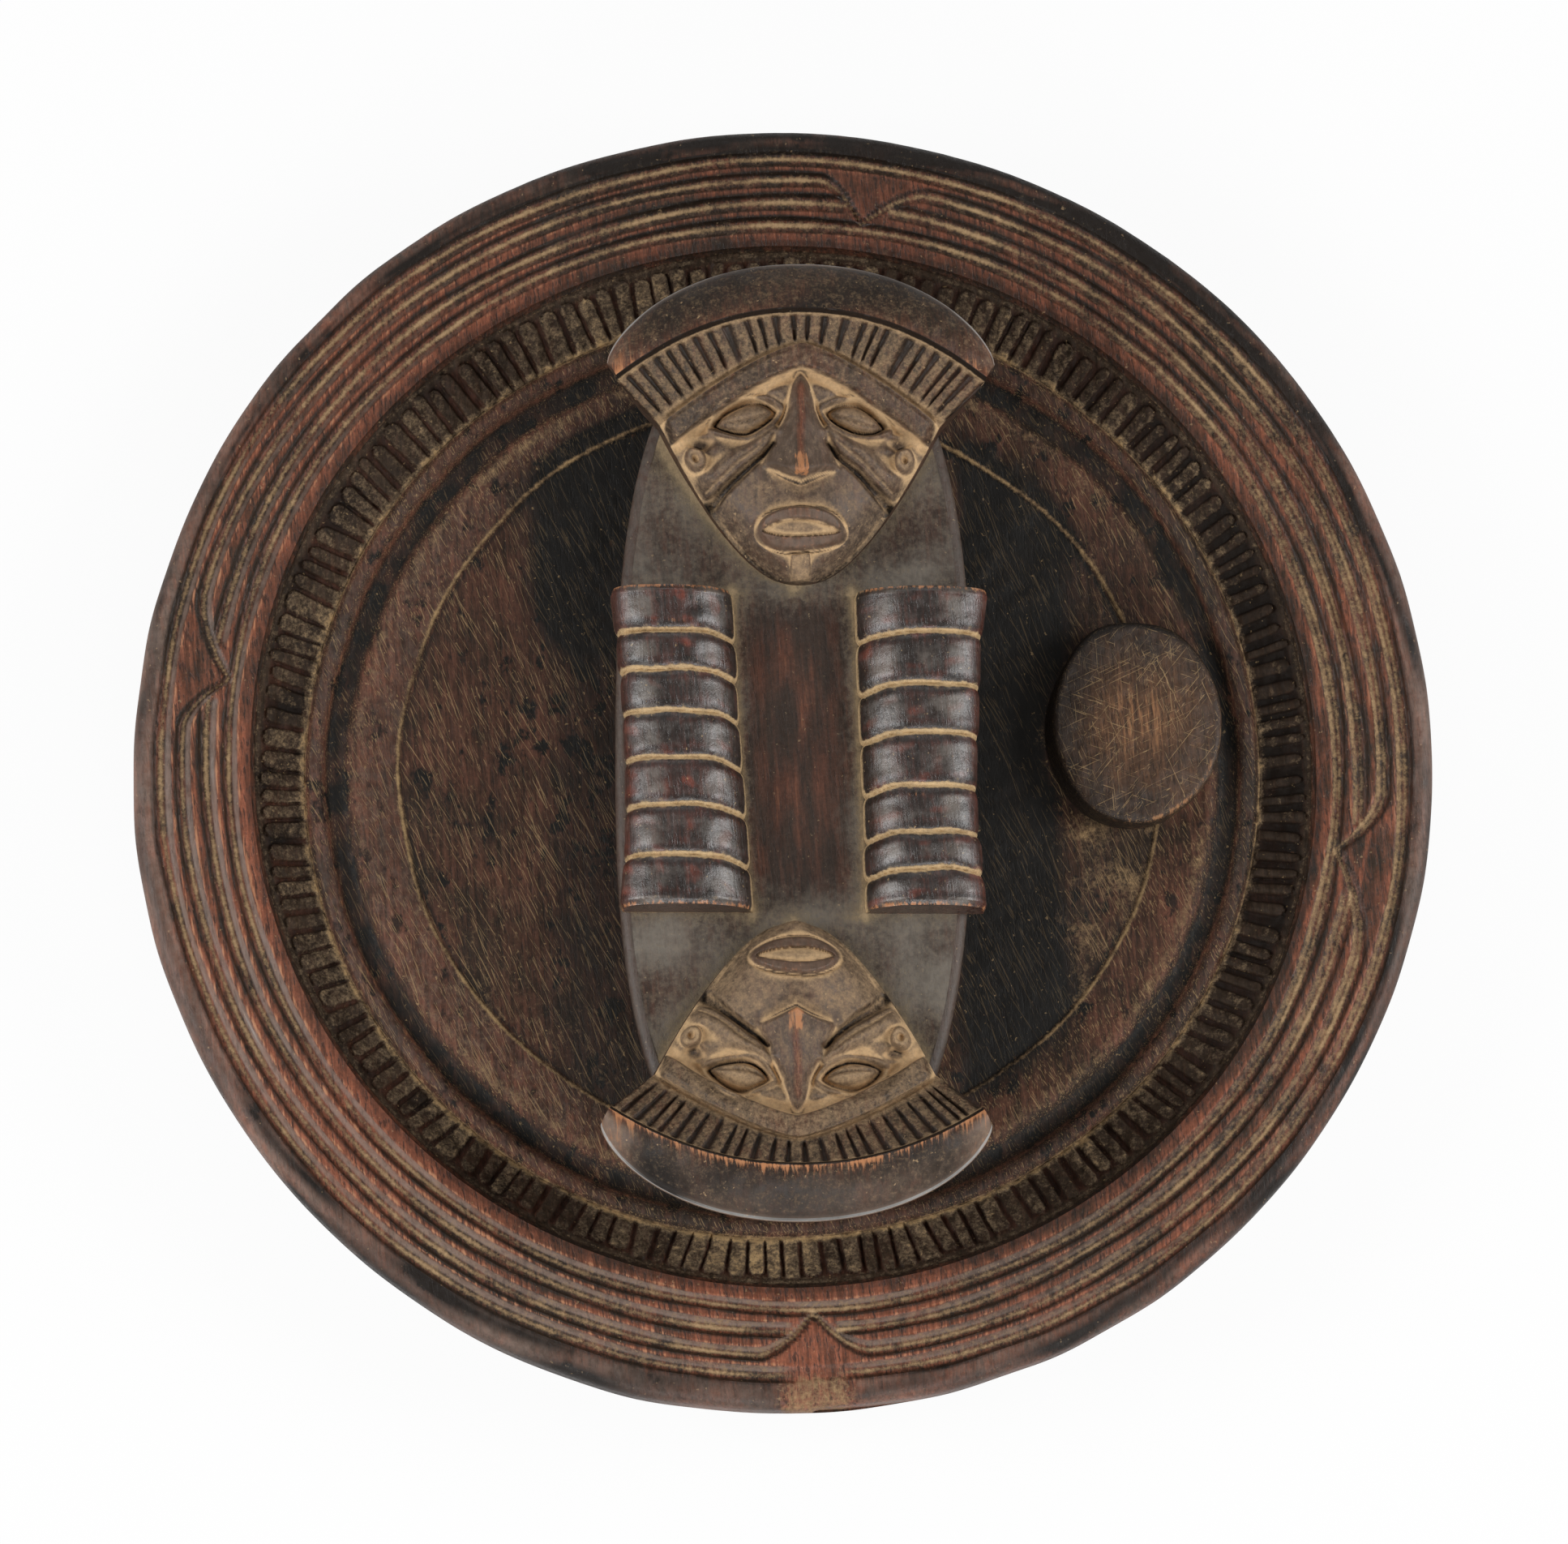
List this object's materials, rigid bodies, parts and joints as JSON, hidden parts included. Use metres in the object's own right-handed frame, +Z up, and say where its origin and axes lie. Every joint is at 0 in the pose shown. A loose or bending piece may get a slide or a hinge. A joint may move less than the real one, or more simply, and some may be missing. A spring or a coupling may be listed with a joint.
{
  "type": "kola nut bowl",
  "caption": "Shallow round carved wooden dish with a grooved rim, ribbed wall, raised cutting block and a central compartment under a lift-off lid with two outward heads and beaded rolls.",
  "frame": {"origin": "centre of the foot's resting face, on the surface that the bowl stands on", "axes": "+Z up, +Y along the lid towards the back head, +X across the lid towards the cutting block"},
  "size_m": [0.35, 0.3498, 0.0915],
  "materials": {
    "dish_wood": "dark oiled hardwood, handled to a low shine, dust in the cuts",
    "block_wood": "worn hardwood with criss-cross knife marks",
    "lid_wood": "near-black polished hardwood, reddish where worn",
    "head_wood": "carved dark hardwood with ochre dust in the cuts",
    "roll_wood": "polished dark hardwood, reddish on the beads"
  },
  "bodies": {
    "bowl": {"dish_rim": "dish_wood", "dish_floor": "dish_wood", "cutting_block": "block_wood", "compartment_wall": "dish_wood"},
    "lid": {"lid_board": "lid_wood", "back_head": "head_wood", "front_head": "head_wood", "left_roll": "roll_wood", "right_roll": "roll_wood"}
  },
  "joints": [
    {"name": "lid_lift", "type": "slide", "parent": "bowl", "child": "lid", "axis": [0, 0, 1], "range_m": [0, 0.1]}
  ]
}
